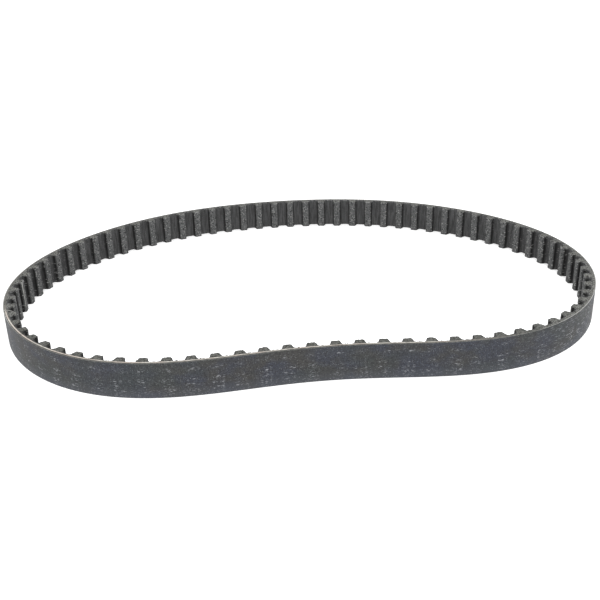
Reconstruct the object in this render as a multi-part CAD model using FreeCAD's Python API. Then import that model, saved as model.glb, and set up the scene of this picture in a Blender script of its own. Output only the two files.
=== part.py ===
import FreeCAD, Part
import math
import os

# A closed timing belt standing on its edge, with its teeth on the inside of the loop.
# Z is across the belt's width. The belt rests on z = 0, and the origin is below the middle of the loop.
# Stations are lengths along the cord line from the middle of the far side, counter-clockwise from above.
# Heights are measured from the cord line: positive out to the smooth back, negative in to the teeth.

# driving dimensions, in millimetres and degrees
PITCH = 10.0
TOOTH_COUNT = 80
BELT_WIDTH = 16.0
BACK_HEIGHT = 1.0
LAND_DEPTH = 0.9
TOOTH_HEIGHT = 3.4
TOOTH_ROOT_WIDTH = 5.4
FLANK_ANGLE = 16.0
TOOTH_RADIUS = 0.4
FACING_THICKNESS = 0.3

CORD_COUNT = 12
CORD_SPACING = 1.25
CORD_RADIUS = 0.45
CORD_CLEARANCE = 0.02

# The flexible loop is built as short stiff sections that meet at flex lines, each in the middle of a land.
# The loop is open at the flex line after one section, which gets a wider gap.
SECTION_COUNT = 20
FLEX_GAP = 0.3
OPEN_GAP = 0.7
FLEX_RELIEF = 18.0
OPEN_SECTION = 9

# how the free loop lies: the waves that its heading adds to a plain circle, from the second harmonic up
LOOP_WAVES = (-0.268, 0.128, -0.078, 0.044, -0.028)
WAVE_SEARCH = 0.2
WAVE_PRECISION = 1e-13
SAMPLES_PER_TOOTH = 10
STRAIGHT_SAG = 1e-4

LOOP_LENGTH = TOOTH_COUNT * PITCH
SECTION_TEETH = TOOTH_COUNT // SECTION_COUNT
SECTION_LENGTH = SECTION_TEETH * PITCH
FLANK = math.radians(FLANK_ANGLE)
# out of a right-hand flank, into the gap between two teeth
FLANK_NORMAL = FreeCAD.Vector(math.cos(FLANK), -math.sin(FLANK), 0)
TIP_NORMAL = FreeCAD.Vector(0, -1, 0)
UP = FreeCAD.Vector(0, 0, 1)


def heading(tooth, first_wave):
    """The direction of travel along the loop at a whole number of teeth from the start, in radians."""
    turned = 2 * math.pi * tooth / TOOTH_COUNT
    waves = (first_wave,) + LOOP_WAVES
    return math.pi + turned + sum(w * math.sin((n + 1) * turned) for n, w in enumerate(waves))


def chord(start, turn, travelled):
    """The straight step that an arc makes, from its first direction, its turn per length and its length."""
    half = turn * travelled / 2
    length = travelled * (math.sin(half) / half if half else 1.0)
    return FreeCAD.Vector(length * math.cos(start + half), length * math.sin(start + half), 0)


def pitch_arcs(first_wave):
    """The cord line's arcs, one per tooth, as (start, direction, turn per length), and their end."""
    arcs = []
    point = FreeCAD.Vector(0, 0, 0)
    for tooth in range(TOOTH_COUNT):
        start = heading(tooth, first_wave)
        turn = (heading(tooth + 1, first_wave) - start) / PITCH
        arcs.append((point, start, turn))
        point = point + chord(start, turn, PITCH)
    return arcs, point


def closing_wave():
    """The first wave, found by halving the interval, that makes the loop close."""
    low, high = -WAVE_SEARCH, WAVE_SEARCH
    low_side = pitch_arcs(low)[1].x > 0
    while high - low > WAVE_PRECISION:
        middle = (low + high) / 2
        if (pitch_arcs(middle)[1].x > 0) == low_side:
            low = middle
        else:
            high = middle
    return low


ARCS = pitch_arcs(closing_wave())[0]


def frame_at(station):
    """The cord line's point, its direction of travel and the way out to the back, at a station."""
    station = station % LOOP_LENGTH
    tooth = min(int(station // PITCH), TOOTH_COUNT - 1)
    point, start, turn = ARCS[tooth]
    travelled = station - tooth * PITCH
    direction = start + turn * travelled
    along = FreeCAD.Vector(math.cos(direction), math.sin(direction), 0)
    outward = FreeCAD.Vector(math.sin(direction), -math.cos(direction), 0)
    return point + chord(start, turn, travelled), along, outward


def loop_middle():
    """The middle of the loop's outer box, so that the origin can be put below it."""
    samples = []
    for sample in range(SAMPLES_PER_TOOTH * TOOTH_COUNT):
        point, _, outward = frame_at(sample * PITCH / SAMPLES_PER_TOOTH)
        samples.append(point + outward * BACK_HEIGHT)
    xs = [p.x for p in samples]
    ys = [p.y for p in samples]
    return FreeCAD.Vector((min(xs) + max(xs)) / 2, (min(ys) + max(ys)) / 2, 0)


MIDDLE = loop_middle()


def belt_point(station, height):
    """A point of the belt's outline at z = 0."""
    point, _, outward = frame_at(station)
    return point + outward * height - MIDDLE


def line(start, end):
    return Part.LineSegment(start, end).toShape()


def arc(start, between, end):
    """The arc through three points, or a line where the three are as good as straight."""
    sag = between.distanceToLine(start, end - start)
    if sag < STRAIGHT_SAG:
        return line(start, end)
    return Part.Arc(start, between, end).toShape()


def belt_arc(first, last, height):
    """The belt's outline at one height between two stations of one tooth pitch."""
    middle = (first + last) / 2
    return arc(belt_point(first, height), belt_point(middle, height), belt_point(last, height))


def round_corner(centre, radius, first_way, last_way):
    """The three points of a rounded corner: its start, middle and end."""
    middle_way = FreeCAD.Vector(first_way + last_way).normalize()
    return [centre + way * radius for way in (first_way, middle_way, last_way)]


def root_centre(bend):
    """The centre of the fillet from flank to land, in the tooth's own frame. bend is its cord radius."""
    start_x = TOOTH_ROOT_WIDTH / 2 + TOOTH_RADIUS / math.cos(FLANK)
    start = FreeCAD.Vector(start_x, -LAND_DEPTH, 0)
    down = FreeCAD.Vector(-math.sin(FLANK), -math.cos(FLANK), 0)
    reach = bend - LAND_DEPTH - TOOTH_RADIUS
    across = start + FreeCAD.Vector(0, bend, 0)
    slope = across.dot(down)
    rest = across.dot(across) - reach**2
    step = rest / (-slope + math.copysign(math.sqrt(slope**2 - rest), -slope))
    return start + down * step


def right_half_tooth(bend, inset):
    """The points of a tooth's right half from the middle of its tip to its land, moved in by an inset."""
    tip_y = -(LAND_DEPTH + TOOTH_HEIGHT - TOOTH_RADIUS)
    tip_x = TOOTH_ROOT_WIDTH / 2 + (tip_y + LAND_DEPTH) * math.tan(FLANK) - TOOTH_RADIUS / math.cos(FLANK)
    tip_centre = FreeCAD.Vector(tip_x, tip_y, 0)
    tip = round_corner(tip_centre, TOOTH_RADIUS - inset, TIP_NORMAL, FLANK_NORMAL)
    fillet_centre = root_centre(bend)
    reach = bend - LAND_DEPTH - TOOTH_RADIUS
    land_way = (fillet_centre + FreeCAD.Vector(0, bend, 0)) * (1 / reach)
    root = round_corner(fillet_centre, TOOTH_RADIUS + inset, FLANK_NORMAL * -1, land_way)
    return tip, root


def tooth_edges(tooth, inset):
    """One tooth's outline, with the stations where it leaves and meets the land."""
    centre_station = (tooth + 0.5) * PITCH
    point, along, outward = frame_at(centre_station)
    bend = 1 / ARCS[tooth % TOOTH_COUNT][2]
    tip, root = right_half_tooth(bend, inset)

    def placed(local, side):
        return point + along * (side * local.x) + outward * local.y - MIDDLE

    right_tip = [placed(p, 1) for p in tip]
    right_root = [placed(p, 1) for p in root]
    left_tip = [placed(p, -1) for p in reversed(tip)]
    left_root = [placed(p, -1) for p in reversed(root)]
    edges = [
        arc(*left_root),
        line(left_root[-1], left_tip[0]),
        arc(*left_tip),
        line(left_tip[-1], right_tip[0]),
        arc(*right_tip),
        line(right_tip[-1], right_root[0]),
        arc(*right_root),
    ]
    land_end = root[-1]
    half_span = bend * math.atan(land_end.x / (bend + land_end.y))
    return edges, centre_station - half_span, centre_station + half_span


def land_edge(first, last, height, fixed_start, fixed_end):
    """A stretch of land whose ends are given points."""
    start = fixed_start or belt_point(first, height)
    end = fixed_end or belt_point(last, height)
    return arc(start, belt_point((first + last) / 2, height), end)


def inner_edges(section, inset):
    """The toothed side of a section from its first flex line to its last, moved in by an inset."""
    height = inset - LAND_DEPTH
    first, last = section_ends(section, -height)
    first_tooth = section_first_tooth(section)
    edges = []
    reached, reached_point = first, None
    for tooth in range(first_tooth, first_tooth + SECTION_TEETH):
        tooth_shape, starts, ends = tooth_edges(tooth, inset)
        boundary = tooth * PITCH
        start_point = tooth_shape[0].Vertexes[0].Point
        end_point = tooth_shape[-1].Vertexes[-1].Point
        if tooth > first_tooth:
            edges.append(land_edge(reached, boundary, height, reached_point, None))
            edges.append(land_edge(boundary, starts, height, None, start_point))
        else:
            edges.append(land_edge(first, starts, height, None, start_point))
        edges += tooth_shape
        reached, reached_point = ends, end_point
    edges.append(land_edge(reached, last, height, reached_point, None))
    return edges


def section_first_tooth(section):
    """A section's first tooth. Section 1 is centred on the start of the stations."""
    return (section - 1) * SECTION_TEETH - SECTION_TEETH // 2


def end_setbacks(section):
    """How far a section's two ends stand back from their flex lines, at the cord line."""
    first = OPEN_GAP / 2 if section == OPEN_SECTION + 1 else FLEX_GAP / 2
    last = OPEN_GAP / 2 if section == OPEN_SECTION else FLEX_GAP / 2
    return first, last


def section_ends(section, distance):
    """The stations of a section's ends, which slope back from the flex lines away from the cord line."""
    start = section_first_tooth(section) * PITCH
    slope = distance * math.tan(math.radians(FLEX_RELIEF))
    first, last = end_setbacks(section)
    return start + first + slope, start + SECTION_LENGTH - last - slope


def outline_points(section, height):
    """The outline's two end points at a height."""
    first, last = section_ends(section, abs(height))
    return belt_point(first, height), belt_point(last, height)


def belt_edges(section, first, last, height):
    """A smooth line of the section at one height between two stations, in one arc per tooth pitch."""
    first_tooth = section_first_tooth(section)
    stations = [first]
    stations += [tooth * PITCH for tooth in range(first_tooth + 1, first_tooth + SECTION_TEETH)]
    stations += [last]
    return [belt_arc(a, b, height) for a, b in zip(stations, stations[1:])]


def extruded(edges):
    """The solid of a closed outline over the belt's width."""
    wire = Part.Wire(Part.sortEdges(edges)[0])
    return Part.Face(wire).extrude(UP * BELT_WIDTH)


def cord_heights():
    """The heights of the cord turns above the belt's lower edge."""
    lowest = (BELT_WIDTH - (CORD_COUNT - 1) * CORD_SPACING) / 2
    return [lowest + turn * CORD_SPACING for turn in range(CORD_COUNT)]


def cord_turns(section, first, last, radius):
    """Round cords side by side across the belt, along the cord line of a section between two stations."""
    path = Part.Wire(belt_edges(section, first, last, 0))
    start, along, _ = frame_at(first)
    ring = Part.Wire(Part.Circle(start - MIDDLE, along, radius).toShape())
    swept = path.makePipe(Part.Face(ring))
    return [swept.translated(UP * z) for z in cord_heights()]


def tension_cords(section):
    """The cord turns of one section, ending just inside its rubber."""
    first, last = section_ends(section, CORD_RADIUS)
    return Part.Compound(cord_turns(section, first, last, CORD_RADIUS))


def rubber(section):
    """The back and the tooth cores of one section in one moulding, with a tunnel around each cord."""
    inner_start, inner_end = outline_points(section, FACING_THICKNESS - LAND_DEPTH)
    cord_start, cord_end = outline_points(section, 0)
    outer_start, outer_end = outline_points(section, BACK_HEIGHT)
    ends = [
        line(inner_start, cord_start),
        line(cord_start, outer_start),
        line(inner_end, cord_end),
        line(cord_end, outer_end),
    ]
    first, last = section_ends(section, BACK_HEIGHT)
    back = belt_edges(section, first, last, BACK_HEIGHT)
    body = extruded(inner_edges(section, FACING_THICKNESS) + back + ends)
    start = section_first_tooth(section) * PITCH
    tunnels = cord_turns(section, start, start + SECTION_LENGTH, CORD_RADIUS + CORD_CLEARANCE)
    return body.cut(tunnels)


def tooth_facing(section):
    """The woven facing of one section, an even layer over the lands and the teeth."""
    outer_start, outer_end = outline_points(section, -LAND_DEPTH)
    inner_start, inner_end = outline_points(section, FACING_THICKNESS - LAND_DEPTH)
    ends = [line(outer_start, inner_start), line(outer_end, inner_end)]
    return extruded(inner_edges(section, 0.0) + inner_edges(section, FACING_THICKNESS) + ends)


os.makedirs("parts", exist_ok=True)
for number in range(1, SECTION_COUNT + 1):
    rubber(number).exportStep(f"parts/rubber_{number:02d}.step")
    tension_cords(number).exportStep(f"parts/tension_cords_{number:02d}.step")
    tooth_facing(number).exportStep(f"parts/tooth_facing_{number:02d}.step")
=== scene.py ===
import math

import bpy
import numpy as np
from mathutils import Matrix, Vector


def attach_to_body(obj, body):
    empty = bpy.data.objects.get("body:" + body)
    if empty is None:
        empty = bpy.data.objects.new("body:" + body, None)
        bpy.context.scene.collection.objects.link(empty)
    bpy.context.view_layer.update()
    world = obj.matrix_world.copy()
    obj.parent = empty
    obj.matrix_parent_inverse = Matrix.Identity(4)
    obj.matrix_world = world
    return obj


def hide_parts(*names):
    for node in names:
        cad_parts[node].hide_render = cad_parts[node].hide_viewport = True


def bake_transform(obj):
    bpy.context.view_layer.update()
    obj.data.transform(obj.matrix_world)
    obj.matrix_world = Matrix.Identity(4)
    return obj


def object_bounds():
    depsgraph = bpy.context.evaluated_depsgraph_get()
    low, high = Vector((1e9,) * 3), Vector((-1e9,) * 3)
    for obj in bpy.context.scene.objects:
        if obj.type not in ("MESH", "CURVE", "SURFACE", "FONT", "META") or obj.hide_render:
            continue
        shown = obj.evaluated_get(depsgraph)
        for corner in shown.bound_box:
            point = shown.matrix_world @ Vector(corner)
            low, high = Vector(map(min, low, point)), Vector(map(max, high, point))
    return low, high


# The looks of a closed timing belt that stands on its edge, teeth inward.
# Lengths are in millimetres and turned into metres when a mesh or a lamp is made.
# Stations are lengths along the cord line from the middle of the far side, going counter-clockwise as
# seen from above.
# Heights are measured from the cord line: positive out to the smooth back, negative in to the teeth.

# the belt, as in the CAD model
PITCH = 10.0
TOOTH_COUNT = 80
BELT_WIDTH = 16.0
BACK_HEIGHT = 1.0
LAND_DEPTH = 0.9
TOOTH_HEIGHT = 3.4
TOOTH_ROOT_WIDTH = 5.4
FLANK_ANGLE = 16.0
FACING_THICKNESS = 0.3
CORD_COUNT = 12
CORD_SPACING = 1.25
CORD_RADIUS = 0.45
SECTION_COUNT = 20
OPEN_SECTION = 9
LOOP_WAVES = (-0.268, 0.128, -0.078, 0.044, -0.028)
WAVE_SEARCH = 0.2
WAVE_PRECISION = 1e-13

# the corners of the teeth, worn rounder than in the CAD model
TOOTH_RADIUS = 0.75

# The pieces' ends at the open flex line slant, so that the one before it lies over the one after it.
# They stand a little apart, because the loop's two ends close up there when it is pinched in.
OPEN_SLANT = 0.9
OPEN_ROOM = 0.03
OPEN_SLOPE = 0.0175
OPEN_STRETCH = 2.3

# base colours, as linear red, green and blue
BACK_BLUE = (0.045, 0.050, 0.066)
BACK_BROWN = (0.053, 0.052, 0.049)
BACK_GREEN = (0.044, 0.052, 0.052)
# painted light: the colour that the back's lower edge takes where light bounced off the floor falls
BACK_BOUNCE_LIGHT = (0.080, 0.086, 0.099)
BACK_DARK = (0.010, 0.010, 0.012)
FLECK = (0.36, 0.37, 0.39)
CUT_DARK = (0.044, 0.045, 0.040)
CUT_LIGHT = (0.14, 0.141, 0.130)
# pale dust on the cut faces, and also the painted highlight on their rim by the back
CUT_DUST_AND_HIGHLIGHT = (0.50, 0.50, 0.485)
# painted shade: the near-black flanks and corners between the teeth
FACING_FLANK_SHADE = (0.014, 0.014, 0.014)
FACING_LAND = (0.122, 0.123, 0.124)
FACING_TIP = (0.128, 0.130, 0.130)
FACING_DUST = (0.46, 0.46, 0.45)
FACING_GAPS = (0.006, 0.006, 0.006)
CORD_PALE = (0.76, 0.73, 0.67)
CORD_PINK = (0.68, 0.60, 0.54)
CORD_STAINED = (0.13, 0.13, 0.12)
CORD_SHADE = (0.20, 0.17, 0.15)
PALE_NYLON = (0.50, 0.50, 0.46)
WHITE = (1.0, 1.0, 1.0)
PAPER = (0.9, 0.9, 0.9)

# thread spacing of the woven facing, along and across the belt
WEAVE_WARP = 0.42
WEAVE_WEFT = 0.36

# the camera, by its place round the middle of the belt's foot
CAMERA_DISTANCE = 402.28
CAMERA_HEIGHT = 176.51
CAMERA_TURN = 5.698
CAMERA_TILT = 24.5
CAMERA_ROLL = -1.483
CAMERA_LENS = 49.946
SENSOR_WIDTH = 36.0
CAMERA_CLIP_START = 0.01

# the studio's brightness on the camera's side and on the far side, and where it changes over
STUDIO_FRONT = 0.65
STUDIO_BACK = 1.15
STUDIO_FADE = (-0.7, 0.3)

# the softbox over the camera, and the paper floor, in metres
SOFTBOX_PLACE = (0.0, -0.9, 0.9)
SOFTBOX_SIZE = (0.9, 0.6)
SOFTBOX_POWER = 6.0
FLOOR_SIZE = 6.0
FLOOR_ROUGHNESS = 0.9
FLOOR_GLOW = 0.5

# how finely the meshes are divided
TIP_STEPS = 5
CORNER_STEPS = 4
FLANK_STEPS = 5
LAND_STEPS = 6
BACK_LINES = 21
FACING_LINES = 21
HIDDEN_LINES = 4
CORD_STEP = 0.5
CORD_SIDES = 12
THREAD_SIDES = 5
THREAD_RINGS = 6
SHARP_ANGLE = 32.0

# heights of the lines along a cut face, and how the rest of it is divided down to the teeth
CUT_LINES = (0.55, 0.2, -0.2, -0.55)
CUT_SHARES = (0.25, 0.5, 0.75, 1.0)

# the wound cord: where it leaves through the upper cut face, and where its sliced side shows
CORD_EXIT = 342.0
CORD_SHOWS = (222.0, 236.0)
CORD_SINKS = (430.0, 480.0)
CORD_SUNK = 0.05
CORD_PROUD = 0.16
CORD_FUZZ = 0.06
CORD_LAY = 4.0
CORD_PLIES = 3
CORD_GROOVE = 0.14
CORD_SLICE_RELIEF = 0.04
HIDDEN_CORD_STEP = 4.0

# enough turns of the wound cord to reach from one cut face to the other
CORD_TURNS = CORD_COUNT + 2

# the front run, where the cut face has less pale dust and less painted highlight on its rim than at the two
# ends and the far side
FRONT_STARTS = (225.0, 265.0)
FRONT_ENDS = (475.0, 530.0)

# the two ends of the loop, where the facing is dustiest, and how far from them the dust fades in
LEFT_END = 205.0
RIGHT_END = 595.0
DUSTY_END = (90.0, 40.0)

# two pale threads pulled out at the left end: over one tooth's cut face, and down another tooth's tip
CROSSING_TOOTH = 23
PULLED_TOOTH = 19
PALE_THREAD_RADIUS = 0.2

# loose threads along the cut edge: where they start, and what share of their length they sink and rise
THREADS_PER_TOOTH = (3, 8)
THREAD_LENGTH = (0.25, 0.9)
THREAD_RADIUS = (0.05, 0.12)
THREAD_TAPER = 0.75
THREAD_END_POINTS = 3
THREAD_DEPTH_IN_FACING = 0.1
THREAD_DEPTH_BELOW_EDGE = 0.15
THREAD_SINK = (0.2, 1)
THREAD_RISE = (0.5, 1)
THREAD_WAVER = 0.3
FIRST_THREAD_SEED = 100

# a direction that no thread runs along, to turn the sides of a thread from
THREAD_ASIDE = (0.31, 0.52, 0.79)

# torn crumbs along the cut edge, placed from the middle of a land
CRUMBS_PER_LAND = (1, 4)
CRUMB_HALF_LENGTH = (0.25, 0.6)
CRUMB_RADIUS = (0.14, 0.26)
CRUMB_STATION = (-1.6, 0.0)
CRUMB_LEAST_DEPTH = 0.3
CRUMB_SUNK = 0.1
CRUMB_SKEW = 0.2
CRUMB_RISE = (0.3, 0.9)

# the rows of pale dashes on the back: where each group starts, is full, is full still and ends
UPPER_DASHES = (11.4, 12.2, 13.8, 14.6)
LOWER_DASHES = (0.4, 1.6, 8.6, 10.0)
DASH_ROW_START = 0.7
DASH_ROW_SPACING = 2.4
DASH_STRENGTH = 0.72

# where the streaks at the right end of the back come in
BACK_STREAKS = (470, 535)

# small relief, each kind with the width of its lumps
EDGE_ROUND = 0.14
BACK_RIPPLE = 0.02
RIPPLE_GRAIN = 3.0
CUT_ROUGHNESS = 0.10
CUT_GRAIN = 0.55
FINE_TEAR = 0.6
FRAY = 0.14
FRAY_GRAIN = 0.35
FACING_BUMPS = 0.1
FACING_GRAIN = 1.1
FUZZ_GRAIN = 1.3

# the part of the noise that each kind of relief uses
RIPPLE_SEED, TEAR_SEED, FINE_TEAR_SEED, FRAY_SEED, FUZZ_SEED, BUMP_SEED = range(1, 7)
NOISE_SEED = 11
NOISE_SIZE = 64
SEED_STEP = 7.31

# the soft edge of a fleck, by distance from the middle of its cell and by chance
FLECK_EDGE = (0.15, 0.42)
FLECK_CHANCE_EDGE = 0.04

MM = 0.001
TOUCH = 1e-6
TIP_HEIGHT = -LAND_DEPTH - TOOTH_HEIGHT
LOOP_LENGTH = PITCH * TOOTH_COUNT
SECTION_TEETH = TOOTH_COUNT // SECTION_COUNT
SECTION_LENGTH = SECTION_TEETH * PITCH
OPEN_STATION = (OPEN_SECTION - 0.5) * SECTION_LENGTH
FLANK = math.radians(FLANK_ANGLE)

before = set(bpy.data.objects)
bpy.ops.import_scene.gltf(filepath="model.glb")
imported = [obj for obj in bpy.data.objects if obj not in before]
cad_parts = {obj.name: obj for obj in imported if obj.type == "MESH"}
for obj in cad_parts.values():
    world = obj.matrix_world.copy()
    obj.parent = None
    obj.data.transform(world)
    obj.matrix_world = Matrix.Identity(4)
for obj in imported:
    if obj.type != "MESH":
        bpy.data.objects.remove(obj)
cad_low, cad_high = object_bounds()


# ---------------------------------------------------------------- the loop

def headings(first_wave):
    """The direction of travel at each whole number of teeth from the start, in radians."""
    turned = 2 * math.pi * np.arange(TOOTH_COUNT + 1) / TOOTH_COUNT
    waves = (first_wave,) + LOOP_WAVES
    return math.pi + turned + sum(w * np.sin((n + 1) * turned) for n, w in enumerate(waves))


def chords(start, turn, travelled):
    """The straight steps that arcs make, for their starting directions, turns per length and lengths."""
    half = turn * travelled / 2
    length = travelled * np.sinc(half / math.pi)
    return np.stack([length * np.cos(start + half), length * np.sin(start + half)], axis=-1)


def end_of_loop(first_wave):
    """Where the last arc ends, measured from the start of the first."""
    directions = headings(first_wave)
    turns = np.diff(directions) / PITCH
    return chords(directions[:-1], turns, PITCH).sum(axis=0)


def closing_wave():
    """The first wave, found by halving the interval, that makes the loop close."""
    low, high = -WAVE_SEARCH, WAVE_SEARCH
    low_side = end_of_loop(low)[0] > 0
    while high - low > WAVE_PRECISION:
        middle = (low + high) / 2
        if (end_of_loop(middle)[0] > 0) == low_side:
            low = middle
        else:
            high = middle
    return low


DIRECTIONS = headings(closing_wave())
TURNS = np.diff(DIRECTIONS) / PITCH
STARTS = np.vstack([[0, 0], np.cumsum(chords(DIRECTIONS[:-1], TURNS, PITCH), axis=0)])[:-1]


def loop_points(stations, heights):
    """Plan points of the loop before it is centred."""
    stations = np.mod(stations, LOOP_LENGTH)
    tooth = np.minimum((stations // PITCH).astype(int), TOOTH_COUNT - 1)
    travelled = stations - tooth * PITCH
    direction = DIRECTIONS[tooth] + TURNS[tooth] * travelled
    outward = np.stack([np.sin(direction), -np.cos(direction)], axis=-1)
    line = STARTS[tooth] + chords(DIRECTIONS[tooth], TURNS[tooth], travelled)
    return line + outward * np.asarray(heights)[..., None]


def centring_shift():
    """The plan shift that puts the middle of the loop's outer box on the middle of the CAD box."""
    outline = loop_points(np.arange(0, LOOP_LENGTH, 1.0), np.full(int(LOOP_LENGTH), BACK_HEIGHT))
    middle = (outline.min(axis=0) + outline.max(axis=0)) / 2
    target = np.array([cad_low.x + cad_high.x, cad_low.y + cad_high.y]) / 2 / MM
    return target - middle


SHIFT = centring_shift()
FOOT = cad_low.z / MM


def belt_points(belt):
    """Points in metres for belt coordinates: station, height, distance across from the lower edge."""
    plan = loop_points(belt[..., 0], belt[..., 1]) + SHIFT
    return np.concatenate([plan, belt[..., 2:] + FOOT], axis=-1) * MM


# ---------------------------------------------------------------- the toothed side

def arc_points(centre, radius, first_angle, last_angle, steps):
    """Points along an arc, with both its ends."""
    angles = np.linspace(first_angle, last_angle, steps + 1)
    return np.stack([centre[0] + radius * np.cos(angles), centre[1] + radius * np.sin(angles)], axis=-1)


def straight_points(first, last, steps):
    """Points along a straight line, with both its ends."""
    return np.linspace(first, last, steps + 1)


def fillet_centre(bend):
    """The centre of the fillet from flank to land in a tooth's own frame, for a cord line of radius bend."""
    start = np.array([TOOTH_ROOT_WIDTH / 2 + TOOTH_RADIUS / math.cos(FLANK), -LAND_DEPTH])
    down = np.array([-math.sin(FLANK), -math.cos(FLANK)])
    reach = bend - LAND_DEPTH - TOOTH_RADIUS
    across = start + np.array([0, bend])
    slope = across @ down
    rest = across @ across - reach ** 2
    return start + down * (rest / (-slope + math.copysign(math.sqrt(slope ** 2 - rest), -slope)))


def half_tooth(bend, inset):
    """A tooth's right half from the middle of its tip to its land, moved into the rubber by an inset."""
    tip_y = TOOTH_RADIUS - LAND_DEPTH - TOOTH_HEIGHT
    tip_x = TOOTH_ROOT_WIDTH / 2 + (tip_y + LAND_DEPTH) * math.tan(FLANK) - TOOTH_RADIUS / math.cos(FLANK)
    tip = arc_points((tip_x, tip_y), TOOTH_RADIUS - inset, -math.pi / 2, -FLANK, CORNER_STEPS)
    centre = fillet_centre(bend)
    if bend > 0:
        landing = math.atan2(centre[1] + bend, centre[0])
    else:
        landing = math.atan2(-centre[1] - bend, -centre[0])
    root = arc_points(centre, TOOTH_RADIUS + inset, math.pi - FLANK, landing, CORNER_STEPS)
    return np.concatenate([
        straight_points((0, tip[0, 1]), tip[0], TIP_STEPS)[:-1],
        tip[:-1],
        straight_points(tip[-1], root[0], FLANK_STEPS)[:-1],
        root,
    ])


def toothed_pitch(tooth, inset):
    """Stations and heights of the toothed side over one pitch, with a tooth in its middle."""
    bend = 1 / TURNS[tooth % TOOTH_COUNT]
    x, y = half_tooth(bend, inset).T
    station = bend * np.arctan(x / (bend + y))
    height = math.copysign(1, bend) * np.hypot(x, bend + y) - bend
    land = np.linspace(station[-1], PITCH / 2, LAND_STEPS + 1)[1:]
    station = np.concatenate([station, land])
    height = np.concatenate([height, np.full(LAND_STEPS, inset - LAND_DEPTH)])
    station = np.concatenate([-station[:0:-1], station]) + (tooth + 0.5) * PITCH
    height = np.concatenate([height[:0:-1], height])
    return station, height


def toothed_side(first, last, inset):
    """Stations and heights of the toothed side between two stations that are whole numbers of pitches."""
    stations, heights = [], []
    for tooth in range(round(first / PITCH), round(last / PITCH)):
        station, height = toothed_pitch(tooth, inset)
        skip = 1 if stations else 0
        stations.append(station[skip:])
        heights.append(height[skip:])
    return np.concatenate(stations), np.concatenate(heights)


# ---------------------------------------------------------------- noise and meshes

NOISE_TABLE = np.random.default_rng(NOISE_SEED).uniform(-1, 1, (NOISE_SIZE, NOISE_SIZE, NOISE_SIZE))


def noise(points, grain, seed=0):
    """Smooth random values from -1 to 1 at points in millimetres, with lumps about one grain wide."""
    scaled = points / grain + seed * SEED_STEP
    corner = np.floor(scaled).astype(int)
    part = scaled - corner
    part = part * part * (3 - 2 * part)
    total = np.zeros(points.shape[:-1])
    for step in np.ndindex(2, 2, 2):
        index = (corner + np.array(step)) % NOISE_SIZE
        weight = np.prod(np.where(np.array(step) == 1, part, 1 - part), axis=-1)
        total += weight * NOISE_TABLE[index[..., 0], index[..., 1], index[..., 2]]
    return total


def wrapped(belt):
    """Belt coordinates as points of a cylinder, so that noise has no seam where the loop starts."""
    angle = 2 * math.pi * belt[..., 0] / LOOP_LENGTH
    radius = LOOP_LENGTH / 2 / math.pi + belt[..., 1]
    return np.stack([radius * np.cos(angle), radius * np.sin(angle), belt[..., 2]], axis=-1)


def tube_faces(rings, sides, offset):
    """The quads round a tube and the two lids that close it."""
    faces = []
    for ring in range(rings - 1):
        low = offset + ring * sides
        for side in range(sides):
            turn = (side + 1) % sides
            faces.append((low + side, low + turn, low + sides + turn, low + sides + side))
    faces.append(tuple(offset + side for side in reversed(range(sides))))
    faces.append(tuple(offset + (rings - 1) * sides + side for side in range(sides)))
    return faces


def tube_mesh(name, tubes, materials, side_materials=None):
    """One object made of closed tubes. Each tube is an array (rings, sides, 3) of belt coordinates."""
    faces, offset = [], 0
    for tube in tubes:
        faces += tube_faces(tube.shape[0], tube.shape[1], offset)
        offset += tube.shape[0] * tube.shape[1]
    belt = np.concatenate([tube.reshape(-1, 3) for tube in tubes])
    mesh = bpy.data.meshes.new(name)
    mesh.from_pydata(belt_points(belt), [], faces)
    if side_materials is not None:
        rings, sides, _ = tubes[0].shape
        index = np.concatenate([np.tile(side_materials, rings - 1), [max(side_materials)] * 2])
        mesh.polygons.foreach_set("material_index", index.astype(np.int32))
    for key, values in (("belt", belt), ("wrap", wrapped(belt))):
        attribute = mesh.attributes.new(key, "FLOAT_VECTOR", "POINT")
        attribute.data.foreach_set("vector", values.astype(np.float32).ravel())
    mesh.polygons.foreach_set("use_smooth", np.ones(len(mesh.polygons), bool))
    mesh.set_sharp_from_angle(angle=math.radians(SHARP_ANGLE))
    for material in materials:
        mesh.materials.append(material)
    mesh.update()
    piece = bpy.data.objects.new(name, mesh)
    bpy.context.scene.collection.objects.link(piece)
    return piece


# ---------------------------------------------------------------- the pieces

def leave_room(rings):
    """Slants an end that lies on the open flex line and moves it back, so that its two sides stay apart."""
    station, height = rings[..., 0].copy(), rings[..., 1]
    near = np.clip(1 - np.abs(station - OPEN_STATION) / OPEN_STRETCH, 0, 1)
    slant = OPEN_SLANT * (height - BACK_HEIGHT)
    room = OPEN_ROOM + OPEN_SLOPE * height
    for end, way in ((0, 1), (-1, -1)):
        if np.allclose(station[end], OPEN_STATION):
            rings[..., 0] = station + near * (slant + way * room)
    return rings


def ring_stack(parts):
    """Joins lists of (stations, heights, across) into an array (rings, sides, 3)."""
    columns = []
    for station, height, across in parts:
        columns.append(np.stack(np.broadcast_arrays(station, height, across), axis=-1).astype(float))
    return np.stack(columns, axis=1)


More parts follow.
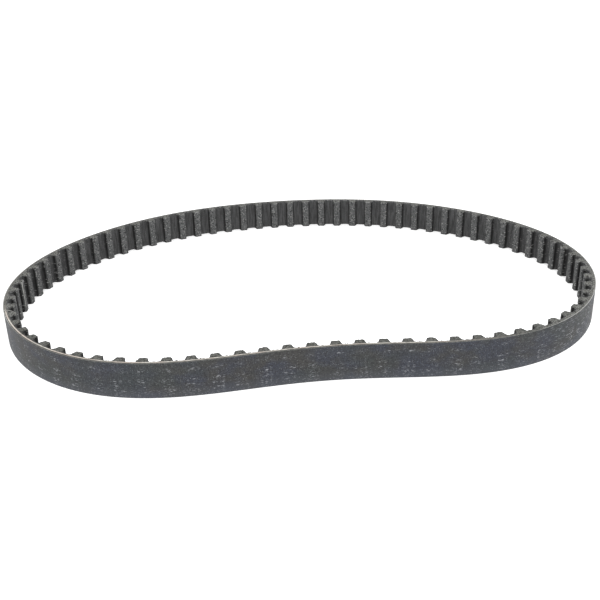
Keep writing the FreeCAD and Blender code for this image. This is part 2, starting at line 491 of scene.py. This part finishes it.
def moulding_rings(first, last):
    """The rubber back and tooth cores between two stations."""
    outer_station, _ = toothed_side(first, last, 0.0)
    inner_station, inner_height = toothed_side(first, last, FACING_THICKNESS)
    inner_station[0], inner_station[-1] = first, last
    bevel = EDGE_ROUND * (1 - math.sqrt(0.5))

    def between(height):
        share = (BACK_HEIGHT - height) / (BACK_HEIGHT - inner_height)
        return outer_station + (inner_station - outer_station) * share

    fixed = [BACK_HEIGHT - EDGE_ROUND, *CUT_LINES]
    cut = [(between(h), np.full_like(inner_height, h)) for h in fixed]
    for share in CUT_SHARES:
        height = fixed[-1] + (inner_height - fixed[-1]) * share
        cut.append((between(height), height))

    parts = []
    for across in np.linspace(EDGE_ROUND, BELT_WIDTH - EDGE_ROUND, BACK_LINES):
        parts.append((outer_station, BACK_HEIGHT, across))
    parts.append((outer_station, BACK_HEIGHT - bevel, BELT_WIDTH - bevel))
    parts += [(station, height, BELT_WIDTH) for station, height in cut]
    for across in np.linspace(BELT_WIDTH, 0, HIDDEN_LINES + 2)[1:-1]:
        parts.append((inner_station, inner_height, across))
    parts += [(station, height, 0.0) for station, height in reversed(cut)]
    parts.append((outer_station, BACK_HEIGHT - bevel, bevel))
    rings = ring_stack(parts)
    sides = rings.shape[1]
    kinds = np.full(sides, 1)
    kinds[:BACK_LINES] = 0
    kinds[-1] = 0
    return leave_room(rough_moulding(rings)), kinds


def rough_moulding(rings):
    """Adds the back's faint ripple over each tooth and the tearing of the knife on the two cut faces."""
    station, height, across = rings[..., 0], rings[..., 1], rings[..., 2]
    place = wrapped(rings)
    back = height > BACK_HEIGHT - TOUCH
    ripple = np.cos(2 * math.pi * station / PITCH) * 0.5 + noise(place, RIPPLE_GRAIN, RIPPLE_SEED)
    rings[..., 1] = height - np.where(back, BACK_RIPPLE * (1 + ripple), 0)
    torn = noise(place, CUT_GRAIN, TEAR_SEED) + FINE_TEAR * noise(place, CUT_GRAIN / 2, FINE_TEAR_SEED)
    upper = np.where(across > BELT_WIDTH - TOUCH, np.abs(torn), 0)
    lower = np.where(across < TOUCH, np.abs(torn), 0)
    rings[..., 2] = across - CUT_ROUGHNESS * (upper - lower)
    return rings


def facing_rings(first, last):
    """The woven layer over the teeth and lands between two stations."""
    outer_station, outer_height = toothed_side(first, last, 0.0)
    inner_station, inner_height = toothed_side(first, last, FACING_THICKNESS)
    inner_station[0], inner_station[-1] = first, last
    middle = ((outer_station + inner_station) / 2, (outer_height + inner_height) / 2)
    parts = []
    for across in np.linspace(0, BELT_WIDTH, FACING_LINES):
        parts.append((outer_station, outer_height, across))
    parts.append((middle[0], middle[1], BELT_WIDTH))
    for across in np.linspace(BELT_WIDTH, 0, HIDDEN_LINES):
        parts.append((inner_station, inner_height, across))
    parts.append((middle[0], middle[1], 0.0))
    rings = ring_stack(parts)
    place = wrapped(rings)
    frayed = noise(place, FRAY_GRAIN, FRAY_SEED) * FRAY
    rings[:, :FACING_LINES, 1] += FACING_BUMPS * noise(place, FACING_GRAIN, BUMP_SEED)[:, :FACING_LINES]
    across = rings[..., 2]
    upper = np.where(across > BELT_WIDTH - TOUCH, frayed, 0)
    lower = np.where(across < TOUCH, frayed, 0)
    rings[..., 2] = across + upper - lower
    return leave_room(rings)[:, ::-1]


def cord_height(station, turn):
    """How far across the belt a turn of the wound cord lies. Turn 0 leaves through the upper cut face."""
    return BELT_WIDTH + CORD_SPACING * ((station - CORD_EXIT) / LOOP_LENGTH - turn)


def smooth_step(values, low, high):
    """Goes smoothly from zero to one as the values go from low to high."""
    share = np.clip((values - low) / (high - low), 0, 1)
    return share * share * (3 - 2 * share)


def cord_tube(first, last, turn):
    """One turn of twisted cord between two stations, sliced by the cut faces. None if it is cut away."""
    edge = min(cord_height(last, turn), BELT_WIDTH - cord_height(first, turn))
    shown = edge < CORD_RADIUS
    step = CORD_STEP if shown else HIDDEN_CORD_STEP
    stations = np.linspace(first, last, max(2, round((last - first) / step)) + 1)
    middle = cord_height(stations, turn)
    kept = (middle > -CORD_RADIUS / 2) & (middle < BELT_WIDTH + CORD_RADIUS / 2)
    if kept.sum() < 2:
        return None
    stations, middle = stations[kept], middle[kept]
    hand = 1 if turn % 2 else -1
    angle = np.linspace(0, 2 * math.pi, CORD_SIDES, endpoint=False)
    twist = hand * 2 * math.pi * stations[:, None] / CORD_LAY
    lobes = np.abs(np.cos(CORD_PLIES / 2 * (angle[None] - twist)))
    radius = CORD_RADIUS * (1 - CORD_GROOVE + CORD_GROOVE * lobes)
    across = middle[:, None] + radius * np.sin(angle)
    exposed = smooth_step(stations, *CORD_SHOWS) * (1 - smooth_step(stations, *CORD_SINKS))
    line = np.stack([stations, stations * 0, stations * 0], axis=-1)
    fuzz = noise(line, FUZZ_GRAIN, FUZZ_SEED) * CORD_FUZZ
    top = BELT_WIDTH - CORD_SUNK + (CORD_SUNK + CORD_PROUD + fuzz) * exposed
    across = np.minimum(across, top[:, None] + CORD_SLICE_RELIEF * lobes)
    across = np.maximum(across, CORD_SUNK)
    belt = np.broadcast_arrays(stations[:, None], radius * np.cos(angle), across)
    return leave_room(np.stack(belt, axis=-1))[:, ::-1]


def thread_tube(start, bend, end, radius):
    """A tapering loose thread through three points in belt coordinates."""
    share = np.linspace(0, 1, THREAD_RINGS)[:, None]
    path = start * (1 - share) ** 2 + bend * 2 * share * (1 - share) + end * share ** 2
    along = np.gradient(path, axis=0)
    along /= np.linalg.norm(along, axis=1)[:, None]
    side = np.cross(along, THREAD_ASIDE)
    side /= np.linalg.norm(side, axis=1)[:, None]
    other = np.cross(along, side)
    angle = np.linspace(0, 2 * math.pi, THREAD_SIDES, endpoint=False)[None, :, None]
    size = radius * (1 - THREAD_TAPER * share[:, None])
    return path[:, None] + size * (side[:, None] * np.cos(angle) + other[:, None] * np.sin(angle))


def tooth_threads(tooth, draw):
    """The loose ends of the facing that the knife left at one tooth's upper edge."""
    station, height = toothed_pitch(tooth, 0.0)
    tubes = []
    for _ in range(draw.integers(*THREADS_PER_TOOTH)):
        index = draw.integers(THREAD_END_POINTS, len(station) - THREAD_END_POINTS)
        depth = height[index] + THREAD_DEPTH_IN_FACING
        start = np.array([station[index], depth, BELT_WIDTH - THREAD_DEPTH_BELOW_EDGE])
        reach = draw.uniform(*THREAD_LENGTH)
        lean = draw.uniform(-1, 1) * reach
        sink = -0.5 * reach * draw.uniform(*THREAD_SINK)
        end = start + (lean, sink, reach * draw.uniform(*THREAD_RISE))
        bend = (start + end) / 2 + draw.uniform(-THREAD_WAVER, THREAD_WAVER, 3) * reach
        tubes.append(thread_tube(start, bend, end, draw.uniform(*THREAD_RADIUS)))
    return tubes


def land_crumbs(tooth, draw):
    """Torn crumbs of rubber left on the upper edge of the land after one tooth."""
    tubes = []
    for _ in range(draw.integers(*CRUMBS_PER_LAND)):
        middle = (tooth + 1) * PITCH + draw.uniform(*CRUMB_STATION)
        half = draw.uniform(*CRUMB_HALF_LENGTH)
        height = -draw.uniform(CRUMB_LEAST_DEPTH, LAND_DEPTH)
        start = np.array([middle - half, height, BELT_WIDTH - CRUMB_SUNK])
        end = start + (2 * half, draw.uniform(-CRUMB_SKEW, CRUMB_SKEW), 0)
        bend = (start + end) / 2 + (0, 0, draw.uniform(*CRUMB_RISE))
        tubes.append(thread_tube(start, bend, end, draw.uniform(*CRUMB_RADIUS)))
    return tubes


def loose_threads(first, last):
    """Every loose thread and crumb between two stations. Each tooth has its own random draws."""
    tubes = []
    for tooth in range(round(first / PITCH), round(last / PITCH)):
        draw = np.random.default_rng(FIRST_THREAD_SEED + tooth)
        tubes += tooth_threads(tooth, draw)
        tubes += land_crumbs(tooth, draw)
    return tubes


def crossing_thread():
    """A pale thread that lies over a tooth's cut face, from the back to the tip."""
    middle = (CROSSING_TOOTH + 0.5) * PITCH
    over = BELT_WIDTH + PALE_THREAD_RADIUS
    start = np.array([middle - 4.5, BACK_HEIGHT - 0.1, over])
    bend = np.array([middle - 5.0, -1.5, over + 0.5])
    end = np.array([middle + 0.5, TIP_HEIGHT, over - 0.3])
    return thread_tube(start, bend, end, PALE_THREAD_RADIUS)


def pulled_thread():
    """A pale thread that stands off the corner of a tooth's tip, from the upper edge down."""
    corner = (PULLED_TOOTH + 0.5) * PITCH + TOOTH_ROOT_WIDTH / 2 - TOOTH_HEIGHT * math.tan(FLANK)
    start = np.array([corner, TIP_HEIGHT, BELT_WIDTH])
    bend = np.array([corner + 0.3, TIP_HEIGHT - 0.1, BELT_WIDTH * 0.6])
    end = np.array([corner, TIP_HEIGHT, BELT_WIDTH * 0.15])
    return thread_tube(start, bend, end, PALE_THREAD_RADIUS)


def spans():
    """Stretches from one section's middle to the next one's: (first, last, name, section, next one).

    The stretch over the open flex line is two rows, each on its one section, with no next one.
    """
    rows = []
    for section in range(1, SECTION_COUNT + 1):
        first = (section - 1) * SECTION_LENGTH
        last = first + SECTION_LENGTH
        following = section % SECTION_COUNT + 1
        if section == OPEN_SECTION:
            middle = (first + last) / 2
            rows.append((first, middle, f"{section:02d}_end", section, None))
            rows.append((middle, last, f"{following:02d}_start", following, None))
        else:
            rows.append((first, last, f"{section:02d}_{following:02d}", section, following))
    return rows


def attach(piece, span, node):
    """Makes a piece ride on its one section, or bakes its place into its mesh if it lies over two."""
    first, last, _, section, following = span
    if following is None:
        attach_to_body(piece, f"section_{section:02d}")
    else:
        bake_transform(piece)
    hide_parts(f"{node}_{section:02d}")


# ---------------------------------------------------------------- materials

class Graph:
    """Adds nodes to a new material, each linked to the sockets or set to the values it is given."""

    def __init__(self, name):
        self.material = bpy.data.materials.new(name)
        self.material.use_nodes = True
        self.tree = self.material.node_tree
        self.surface = self.tree.nodes["Principled BSDF"]

    def node(self, kind, inputs, **settings):
        """A new node, with its inputs filled and its own settings made."""
        node = self.tree.nodes.new(kind)
        for key, value in settings.items():
            setattr(node, key, value)
        self.fill(node, inputs)
        return node

    def fill(self, node, inputs):
        """Links the inputs that are given a socket and sets the others."""
        for key, value in inputs.items():
            if isinstance(value, bpy.types.NodeSocket):
                self.tree.links.new(value, node.inputs[key])
            else:
                node.inputs[key].default_value = value

    def math(self, operation, *values):
        return self.node("ShaderNodeMath", dict(enumerate(values)), operation=operation).outputs[0]

    def times(self, *values):
        result = values[0]
        for value in values[1:]:
            result = self.math("MULTIPLY", result, value)
        return result

    def plus(self, *values):
        result = values[0]
        for value in values[1:]:
            result = self.math("ADD", result, value)
        return result

    def ramp(self, value, low, high, out_low=0.0, out_high=1.0):
        """Goes smoothly from one output to the other as the value goes from low to high."""
        inputs = {"Value": value, "From Min": low, "From Max": high, "To Min": out_low, "To Max": out_high}
        return self.node("ShaderNodeMapRange", inputs, interpolation_type="SMOOTHSTEP").outputs[0]

    def mix(self, share, first, second):
        """The first colour where the share is zero and the second where it is one."""
        first = first if isinstance(first, bpy.types.NodeSocket) else (*first, 1)
        second = second if isinstance(second, bpy.types.NodeSocket) else (*second, 1)
        return self.node("ShaderNodeMix", {0: share, 6: first, 7: second}, data_type="RGBA").outputs[2]

    def band(self, value, low, full, still_full, high):
        """One between the two middle values, and smoothly down to zero at the two outer ones."""
        return self.times(self.ramp(value, low, full), self.ramp(value, high, still_full))

    def attribute(self, name):
        return self.node("ShaderNodeAttribute", {}, attribute_name=name).outputs["Vector"]

    def belt(self):
        """The station, height and distance across the belt, in millimetres."""
        parts = self.node("ShaderNodeSeparateXYZ", {0: self.attribute("belt")})
        return parts.outputs[0], parts.outputs[1], parts.outputs[2]

    def stretched(self, vector, scale):
        return self.node("ShaderNodeVectorMath", {0: vector, 1: scale}, operation="MULTIPLY").outputs[0]

    def noise(self, vector, grain, detail=2.0, roughness=0.5):
        """Values round 0.5, in lumps about one grain wide."""
        inputs = {"Vector": vector, "Scale": 1 / grain, "Detail": detail, "Roughness": roughness}
        return self.node("ShaderNodeTexNoise", inputs).outputs[0]

    def flecks(self, vector, size, share):
        """Separate specks in cells of one size, in about this share of the cells."""
        cells = self.node("ShaderNodeTexVoronoi", {"Vector": vector, "Scale": 1.0 / size})
        chance = self.node("ShaderNodeSeparateXYZ", {0: cells.outputs["Color"]}).outputs[0]
        near = self.ramp(cells.outputs["Distance"], *FLECK_EDGE, 1.0, 0.0)
        chosen = self.ramp(chance, 1 - share - FLECK_CHANCE_EDGE, 1 - share + FLECK_CHANCE_EDGE)
        return self.times(near, chosen)

    def finish(self, colour, roughness, bump, bump_height, specular):
        """Fills the surface. The bump's height is in millimetres."""
        normal = self.node("ShaderNodeBump", {"Height": bump, "Distance": bump_height * MM, "Strength": 1.0})
        self.fill(self.surface, {
            "Base Color": colour,
            "Roughness": roughness,
            "Specular IOR Level": specular,
            "Normal": normal.outputs[0],
        })
        return self.material


def front_run(g, station):
    """One along the front run of the loop and nothing at its ends and far side."""
    return g.times(g.ramp(station, *FRONT_STARTS), g.ramp(station, *FRONT_ENDS, 1.0, 0.0))


def back_marks(g):
    """How pale the back's marks are: rows of dashes over each tooth, and fine flecks everywhere."""
    station, _, across = g.belt()
    place = g.attribute("wrap")
    belt = g.attribute("belt")
    tooth_phase = g.times(g.plus(station, PITCH / 2), 2 * math.pi / PITCH)
    over_tooth = g.ramp(g.math("COSINE", tooth_phase), -0.6, 0.7, out_low=0.15)
    upper_rows = g.times(0.85, g.band(across, *UPPER_DASHES))
    lower_rows = g.band(across, *LOWER_DASHES)
    row_phase = g.times(g.plus(across, -DASH_ROW_START), 2 * math.pi / DASH_ROW_SPACING)
    in_row = g.ramp(g.math("COSINE", row_phase), -0.4, 0.6, out_low=0.2)
    rows = g.plus(0.1, g.times(g.plus(upper_rows, lower_rows), in_row))
    wander = g.ramp(g.noise(place, grain=6.0), 0.36, 0.6, out_low=0.45, out_high=1.2)
    dashes = g.flecks(g.stretched(belt, (0.5, 1.0, 2.4)), size=1.0, share=0.6)
    specks = g.flecks(g.stretched(belt, (1.0, 1.0, 1.3)), size=0.55, share=0.55)
    clusters = g.times(g.plus(dashes, g.times(specks, 0.6)), rows, over_tooth, wander)
    streaks = g.noise(g.stretched(belt, (0.3, 1.0, 1.4)), grain=0.8)
    right_end = g.times(g.ramp(station, *BACK_STREAKS), g.ramp(streaks, 0.58, 0.66), 0.55)
    low_down = g.ramp(across, 4.0, 0.5, out_low=0.24, out_high=0.5)
    everywhere = g.times(g.flecks(belt, size=0.7, share=0.45), low_down)
    return g.math("MINIMUM", g.plus(clusters, everywhere, right_end), 1.0)


def back_rubber():
    """The smooth back: blue-black rubber in three tints, with painted light bounced off the floor making it
    greyer towards its lower edge, and pale marks.
    """
    g = Graph("rubber_back")
    _, _, across = g.belt()
    place = g.attribute("wrap")
    patches = g.noise(g.stretched(place, (1, 1, 1.6)), grain=14.0, detail=3.0)
    tint = g.noise(g.stretched(place, (1, 1, 1.3)), grain=21.0)
    grain = g.noise(place, grain=0.55, detail=4.0, roughness=0.75)
    pale = back_marks(g)
    colour = g.mix(g.ramp(patches, 0.38, 0.62), BACK_BLUE, BACK_BROWN)
    colour = g.mix(g.ramp(tint, 0.45, 0.65, out_high=0.7), colour, BACK_GREEN)
    colour = g.mix(g.ramp(grain, 0.37, 0.6, out_low=0.85, out_high=0.0), colour, BACK_DARK)
    # painted light: the back turns greyer towards its lower edge, where light bounced off the floor falls
    colour = g.mix(g.ramp(across, 6.0, 0.0, out_high=0.5), colour, BACK_BOUNCE_LIGHT)
    colour = g.mix(g.times(pale, DASH_STRENGTH), colour, FLECK)
    rough = g.ramp(grain, 0.3, 0.7, out_low=0.5, out_high=0.75)
    return g.finish(colour, rough, g.plus(grain, g.times(pale, 0.6)), bump_height=0.05, specular=0.3)


def cut_rubber():
    """The knife-cut faces: matt, torn and olive-grey. Pale dust, and a pale rim by the back that is partly
    dust and partly painted highlight, both mostly off the front run.
    """
    g = Graph("rubber_cut")
    station, height, _ = g.belt()
    place = g.attribute("wrap")
    coarse = g.noise(place, grain=0.9, detail=3.0, roughness=0.6)
    fine = g.noise(place, grain=0.35, detail=3.0, roughness=0.6)
    # how much of the pale colour shows: full off the front run, a quarter on it
    dust_and_highlight_share = g.ramp(front_run(g, station), 0.0, 1.0, out_low=1.0, out_high=0.25)
    # the pale rim by the back is partly dust and partly painted highlight, where light falls on the cut
    # face's outer rim
    rim = g.times(g.ramp(height, BACK_HEIGHT - 0.6, BACK_HEIGHT - 0.2), 0.7)
    dust_and_highlight = g.times(g.plus(g.ramp(fine, 0.52, 0.68), rim), dust_and_highlight_share)
    colour = g.mix(g.ramp(coarse, 0.38, 0.62), CUT_DARK, CUT_LIGHT)
    colour = g.mix(g.math("MINIMUM", dust_and_highlight, 0.85), colour, CUT_DUST_AND_HIGHLIGHT)
    return g.finish(colour, 0.9, g.plus(coarse, g.times(fine, 0.5)), bump_height=0.15, specular=0.15)


def weave_wear(g, tip):
    """How worn and dusty the facing is: specks on the tips and at the loop's ends, and a pale upper edge."""
    station, _, across = g.belt()
    specks = g.flecks(g.stretched(g.attribute("belt"), (1.0, 0.3, 0.8)), size=0.75, share=0.55)
    rubbed = g.noise(g.attribute("wrap"), grain=0.9, detail=3.0, roughness=0.7)
    off_front = g.ramp(front_run(g, station), 0.0, 1.0, out_low=1.0, out_high=0.0)
    edge = g.times(g.ramp(across, BELT_WIDTH - 0.9, BELT_WIDTH - 0.1), off_front)
    from_left = g.math("ABSOLUTE", g.plus(station, -LEFT_END))
    from_right = g.math("ABSOLUTE", g.plus(station, -RIGHT_END))
    near_end = g.ramp(g.math("MINIMUM", from_left, from_right), *DUSTY_END)
    dotted = g.plus(0.1, tip, g.times(near_end, 0.2))
    worn = g.plus(g.times(specks, dotted), g.times(edge, g.ramp(rubbed, 0.42, 0.6), 0.6))
    return g.math("MINIMUM", g.times(worn, 0.9), 0.9)


def tooth_weave():
    """The woven nylon over the teeth: speckled and worn on the tips, with near-black painted shade on the
    flanks and in the corners.
    """
    g = Graph("tooth_weave")
    station, height, across = g.belt()
    warp = g.math("SINE", g.times(station, 2 * math.pi / WEAVE_WARP))
    weft = g.math("SINE", g.times(across, 2 * math.pi / WEAVE_WEFT))
    weave = g.times(warp, weft)
    rubbed = g.noise(g.attribute("wrap"), grain=0.9, detail=3.0, roughness=0.7)
    streaks = g.noise(g.stretched(g.attribute("belt"), (1, 1, 0.1)), grain=0.8)
    tip = g.ramp(height, TIP_HEIGHT + 1.3, TIP_HEIGHT + 0.1)
    land = g.ramp(height, -LAND_DEPTH - 2.3, -LAND_DEPTH - 0.1)
    # off the tips the facing starts as near-black painted shade, for the flanks and the corners between the
    # teeth; the lands are lightened again below
    colour = g.mix(tip, FACING_FLANK_SHADE, FACING_TIP)
    colour = g.mix(g.times(land, g.ramp(streaks, 0.3, 0.7, out_low=0.45)), colour, FACING_LAND)
    colour = g.mix(weave_wear(g, tip), colour, FACING_DUST)
    gaps = g.times(g.ramp(rubbed, 0.5, 0.34), g.plus(0.15, g.times(tip, 0.75)))
    colour = g.mix(gaps, colour, FACING_GAPS)
    colour = g.mix(g.ramp(weave, -0.6, 0.9, out_low=0.35, out_high=0.0), colour, FACING_GAPS)
    bump = g.plus(g.times(weave, 0.4), rubbed)
    specular = g.plus(0.06, g.times(g.plus(tip, land), 0.12))
    return g.finish(colour, 0.85, bump, bump_height=0.12, specular=specular)


def tension_cord():
    """Twisted cord: pale where the knife has sliced it clean, stained grey elsewhere."""
    g = Graph("tension_cord")
    station, height, _ = g.belt()
    place = g.attribute("wrap")
    fibres = g.noise(g.stretched(g.attribute("belt"), (0.5, 3.0, 3.0)), grain=0.5)
    clean = g.times(g.ramp(station, *CORD_SHOWS), g.ramp(station, *CORD_SINKS, 1.0, 0.0))
    middle = g.ramp(g.math("ABSOLUTE", height), 0.36, 0.22)
    patch = g.ramp(g.noise(place, grain=3.0), 0.32, 0.55, out_low=0.5)
    pale = g.mix(g.ramp(g.noise(place, grain=7.0), 0.4, 0.6), CORD_PALE, CORD_PINK)
    colour = g.mix(g.times(clean, middle, patch), CORD_STAINED, pale)
    colour = g.mix(g.ramp(fibres, 0.35, 0.6, out_low=0.5, out_high=0.0), colour, CORD_SHADE)
    return g.finish(colour, 0.7, fibres, bump_height=0.05, specular=0.2)


def loose_thread():
    """Short ends of dark nylon thread and crumbs of rubber."""
    g = Graph("loose_thread")
    place = g.attribute("wrap")
    colour = g.mix(g.ramp(g.noise(place, grain=1.5), 0.4, 0.6), CUT_DARK, CUT_LIGHT)
    return g.finish(colour, 0.85, g.noise(place, grain=0.1), bump_height=0.02, specular=0.2)


def pale_thread():
    """Bare nylon thread that has come out of the facing."""
    g = Graph("pale_thread")
    fibres = g.noise(g.attribute("wrap"), grain=0.3)
    colour = g.mix(g.ramp(fibres, 0.4, 0.6), FACING_DUST, PALE_NYLON)
    return g.finish(colour, 0.7, fibres, bump_height=0.03, specular=0.3)


# ---------------------------------------------------------------- the studio

def add_floor():
    """White paper under the belt. It glows a little, so that it stays even."""
    mesh = bpy.data.meshes.new("floor")
    half = FLOOR_SIZE / 2
    corners = [(-half, -half), (half, -half), (half, half), (-half, half)]
    mesh.from_pydata([(x, y, cad_low.z) for x, y in corners], [], [(0, 1, 2, 3)])
    material = bpy.data.materials.new("white_paper")
    material.use_nodes = True
    shader = material.node_tree.nodes["Principled BSDF"]
    shader.inputs["Base Color"].default_value = (*PAPER, 1)
    shader.inputs["Roughness"].default_value = FLOOR_ROUGHNESS
    shader.inputs["Emission Color"].default_value = (*WHITE, 1)
    shader.inputs["Emission Strength"].default_value = FLOOR_GLOW
    mesh.materials.append(material)
    floor = bpy.data.objects.new("floor", mesh)
    bpy.context.scene.collection.objects.link(floor)


def add_light(name, place, size, power):
    """A rectangular softbox that faces the belt and can't be seen itself."""
    lamp = bpy.data.lights.new(name, "AREA")
    lamp.energy = power
    lamp.shape = "RECTANGLE"
    lamp.size, lamp.size_y = size
    light = bpy.data.objects.new(name, lamp)
    light.location = place
    light.rotation_euler = (-Vector(place)).to_track_quat("-Z", "Y").to_euler()
    light.visible_camera = False
    bpy.context.scene.collection.objects.link(light)


def shade_front(tree, background):
    """Makes the light weaker from the camera's side, so that the gaps between the teeth stay dark.

    What the camera sees of the studio directly stays at least plain white.
    """
    direction = tree.nodes.new("ShaderNodeTexCoord")
    split = tree.nodes.new("ShaderNodeSeparateXYZ")
    fade = tree.nodes.new("ShaderNodeMapRange")
    fade.inputs["From Min"].default_value = STUDIO_FADE[0]
    fade.inputs["From Max"].default_value = STUDIO_FADE[1]
    fade.inputs["To Min"].default_value = STUDIO_FRONT
    fade.inputs["To Max"].default_value = STUDIO_BACK
    tree.links.new(direction.outputs["Generated"], split.inputs[0])
    tree.links.new(split.outputs["Y"], fade.inputs["Value"])
    plain = tree.nodes.new("ShaderNodeLightPath")
    brighter = tree.nodes.new("ShaderNodeMath")
    brighter.operation = "MAXIMUM"
    tree.links.new(fade.outputs[0], brighter.inputs[0])
    tree.links.new(plain.outputs["Is Camera Ray"], brighter.inputs[1])
    tree.links.new(brighter.outputs[0], background.inputs["Strength"])


def add_world():
    """Even white light from all round."""
    world = bpy.data.worlds.new("studio")
    world.use_nodes = True
    background = world.node_tree.nodes["Background"]
    background.inputs["Color"].default_value = (*WHITE, 1)
    bpy.context.scene.world = world
    shade_front(world.node_tree, background)


def add_camera():
    """The camera, looking down at the belt's front run."""
    turn, tilt, roll = (math.radians(a) for a in (CAMERA_TURN, CAMERA_TILT, CAMERA_ROLL))
    level = Vector((math.cos(turn), -math.sin(turn), 0))
    ahead = Vector((math.sin(turn), math.cos(turn), 0))
    look = ahead * math.cos(tilt) - Vector((0, 0, math.sin(tilt)))
    up = level.cross(look)
    right = level * math.cos(roll) + up * math.sin(roll)
    top = up * math.cos(roll) - level * math.sin(roll)
    middle = (cad_low + cad_high) / 2
    place = Vector((middle.x, middle.y, cad_low.z)) - ahead * CAMERA_DISTANCE * MM
    place.z += CAMERA_HEIGHT * MM
    data = bpy.data.cameras.new("camera")
    data.lens = CAMERA_LENS
    data.sensor_width = SENSOR_WIDTH
    data.clip_start = CAMERA_CLIP_START
    camera = bpy.data.objects.new("camera", data)
    camera.matrix_world = Matrix.Translation(place) @ Matrix((right, top, -look)).transposed().to_4x4()
    bpy.context.scene.collection.objects.link(camera)
    bpy.context.scene.camera = camera


# ---------------------------------------------------------------- the whole belt

back_material = back_rubber()
cut_material = cut_rubber()
weave_material = tooth_weave()
cord_material = tension_cord()
thread_material = loose_thread()
pale_material = pale_thread()


def add_stretch(span):
    """The rubber, the facing, the cords and the loose threads of one stretch."""
    first, last, name = span[:3]
    rings, kinds = moulding_rings(first, last)
    moulding = tube_mesh(f"moulding_{name}", [rings], [back_material, cut_material], kinds)
    attach(moulding, span, "rubber")
    weave = tube_mesh(f"weave_{name}", [facing_rings(first, last)], [weave_material])
    attach(weave, span, "tooth_facing")
    tubes = [cord_tube(first, last, turn) for turn in range(CORD_TURNS)]
    cords = tube_mesh(f"cords_{name}", [tube for tube in tubes if tube is not None], [cord_material])
    attach(cords, span, "tension_cords")
    threads = tube_mesh(f"threads_{name}", loose_threads(first, last), [thread_material])
    attach(threads, span, "tooth_facing")


def add_pale_thread(name, tooth, tube):
    """One pale thread, on the stretch that its tooth is in."""
    span = next(row for row in spans() if row[0] <= tooth * PITCH < row[1])
    attach(tube_mesh(name, [tube], [pale_material]), span, "tooth_facing")


for span in spans():
    add_stretch(span)
add_pale_thread("crossing_thread", CROSSING_TOOTH, crossing_thread())
add_pale_thread("pulled_thread", PULLED_TOOTH, pulled_thread())

add_floor()
add_world()
add_light("front_softbox", SOFTBOX_PLACE, SOFTBOX_SIZE, SOFTBOX_POWER)
add_camera()
bpy.context.scene.view_settings.view_transform = "Standard"
